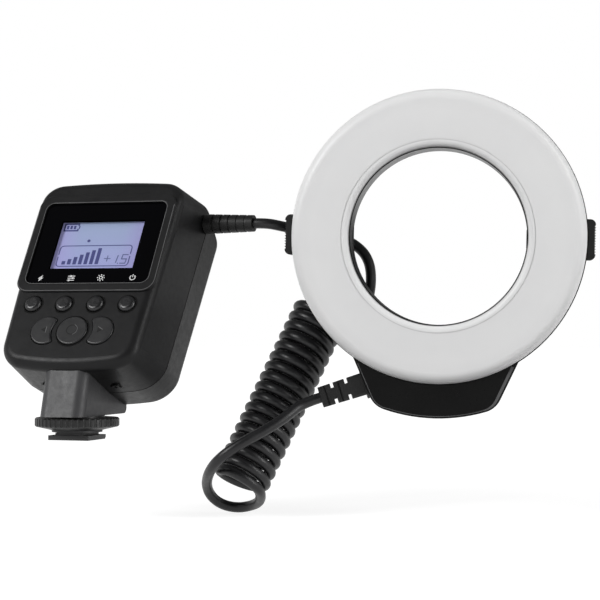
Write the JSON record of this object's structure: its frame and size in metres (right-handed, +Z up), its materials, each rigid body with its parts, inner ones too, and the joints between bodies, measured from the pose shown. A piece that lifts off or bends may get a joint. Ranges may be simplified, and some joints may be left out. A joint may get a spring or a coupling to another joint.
{
  "type": "macro ring flash",
  "caption": "Macro ring light: a sloped control unit with display and buttons on a shoe foot, a curly cord and a ring head with a white diffuser and side release buttons.",
  "frame": {"origin": "centre of the underside of the shoe foot's plate", "axes": "+Z up, the display looks towards -Y and up, +X from the control unit to the ring head"},
  "size_m": [0.2454, 0.1076, 0.1855],
  "materials": {
    "case_plastic": "satin black, fine texture",
    "window_glass": "clear with a black border",
    "panel_glass": "lit lavender display with dark segments",
    "guide_plastic": "white light guide",
    "board_green": "green circuit board",
    "board_white": "white lamp board",
    "screw_steel": "plain steel",
    "screw_black": "blackened steel",
    "switch_metal": "switch cans",
    "button_plastic": "satin black, stippled",
    "tray_plastic": "black",
    "cell_steel": "plain grey sleeve",
    "contact_nickel": "nickel plate",
    "contact_brass": "polished",
    "neck_plastic": "dark grey satin",
    "wheel_plastic": "black, ribbed rim",
    "foot_plastic": "black moulded",
    "relief_rubber": "matte black",
    "cord_rubber": "satin black",
    "diffuser_plastic": "milky white",
    "reflector_white": "white pan",
    "lamp_resin": "clear resin with a yellow phosphor",
    "chip_black": "black",
    "release_plastic": "black, knurled",
    "latch_plastic": "black"
  },
  "bodies": {
    "unit": {"front_shell": "case_plastic", "rear_shell": "case_plastic", "display_window": "window_glass", "display_panel": "panel_glass", "light_guide": "guide_plastic", "main_board": "board_green", "board_screws": "screw_steel", "case_screws": "screw_black", "underside_screws": "screw_black", "tact_switches": "switch_metal", "battery_tray": "tray_plastic", "aa_cells": "cell_steel", "battery_contacts": "contact_nickel", "battery_springs": "contact_nickel", "foot_neck": "neck_plastic", "neck_collar": "case_plastic", "shoe_foot": "foot_plastic", "pin_spring": "contact_nickel", "unit_strain_relief": "relief_rubber", "diffuser": "diffuser_plastic", "reflector": "reflector_white", "led_board": "board_white", "leds": "lamp_resin", "head_housing": "case_plastic", "head_rear_cover": "case_plastic", "head_screws": "screw_black", "driver_board": "board_green", "driver_parts": "chip_black", "latch_springs": "contact_nickel", "head_strain_relief": "relief_rubber", "cord_upper": "cord_rubber", "cord_coil": "cord_rubber", "cord_lower": "cord_rubber"},
    "pilot_button": {"pilot_button": "button_plastic"},
    "mode_button": {"mode_button": "button_plastic"},
    "light_button": {"light_button": "button_plastic"},
    "power_button": {"power_button": "button_plastic"},
    "set_button": {"set_button": "button_plastic"},
    "left_button": {"left_button": "button_plastic"},
    "right_button": {"right_button": "button_plastic"},
    "battery_door": {"battery_door": "case_plastic"},
    "washer": {"pressure_washer": "foot_plastic"},
    "wheel": {"locking_wheel": "wheel_plastic"},
    "contact_pin": {"contact_pin": "contact_brass"},
    "release_left": {"release_button_left": "release_plastic", "latch_ring_left": "latch_plastic"},
    "release_right": {"release_button_right": "release_plastic", "latch_ring_right": "latch_plastic"}
  },
  "joints": [
    {"name": "pilot_button_push", "type": "slide", "parent": "unit", "child": "pilot_button", "axis": [0, 0.8368, -0.5476], "range_m": [0, 0.0006], "stiffness_N_per_m": 2500, "springref_m": -0.0003},
    {"name": "mode_button_push", "type": "slide", "parent": "unit", "child": "mode_button", "axis": [0, 0.8368, -0.5476], "range_m": [0, 0.0006], "stiffness_N_per_m": 2500, "springref_m": -0.0003},
    {"name": "light_button_push", "type": "slide", "parent": "unit", "child": "light_button", "axis": [0, 0.8368, -0.5476], "range_m": [0, 0.0006], "stiffness_N_per_m": 2500, "springref_m": -0.0003},
    {"name": "power_button_push", "type": "slide", "parent": "unit", "child": "power_button", "axis": [0, 0.8368, -0.5476], "range_m": [0, 0.0006], "stiffness_N_per_m": 2500, "springref_m": -0.0003},
    {"name": "set_button_push", "type": "slide", "parent": "unit", "child": "set_button", "axis": [0, 0.8368, -0.5476], "range_m": [0, 0.0006], "stiffness_N_per_m": 2500, "springref_m": -0.0003},
    {"name": "left_button_push", "type": "slide", "parent": "unit", "child": "left_button", "axis": [0, 0.8368, -0.5476], "range_m": [0, 0.0006], "stiffness_N_per_m": 2500, "springref_m": -0.0003},
    {"name": "right_button_push", "type": "slide", "parent": "unit", "child": "right_button", "axis": [0, 0.8368, -0.5476], "range_m": [0, 0.0006], "stiffness_N_per_m": 2500, "springref_m": -0.0003},
    {"name": "battery_door_slide", "type": "slide", "parent": "unit", "child": "battery_door", "axis": [0, -0.5476, -0.8368], "range_m": [0, 0.006]},
    {"name": "washer_lift", "type": "slide", "parent": "unit", "child": "washer", "axis": [0, 0, 1], "range_m": [-0.00015, 0.00065]},
    {"name": "wheel_turn", "type": "hinge", "parent": "washer", "child": "wheel", "pos_m": [0, 0, 0.007], "axis": [0, 0, 1], "range_deg": [-67.5, 292.5]},
    {"name": "contact_pin_push", "type": "slide", "parent": "unit", "child": "contact_pin", "axis": [0, 0, 1], "range_m": [0, 0.0005], "stiffness_N_per_m": 1500, "springref_m": -0.0005, "deforming": ["pin_spring"]},
    {"name": "release_left_push", "type": "slide", "parent": "unit", "child": "release_left", "axis": [0.9757, 0.2181, -0.0227], "range_m": [0, 0.0022], "stiffness_N_per_m": 1500, "springref_m": -0.001},
    {"name": "release_right_push", "type": "slide", "parent": "unit", "child": "release_right", "axis": [-0.9757, -0.2181, 0.0227], "range_m": [0, 0.0022], "stiffness_N_per_m": 1500, "springref_m": -0.001}
  ],
  "couplings": [
    {"joint": "washer_lift", "follows": "wheel_turn", "m_per_rad": 0.00012732}
  ]
}
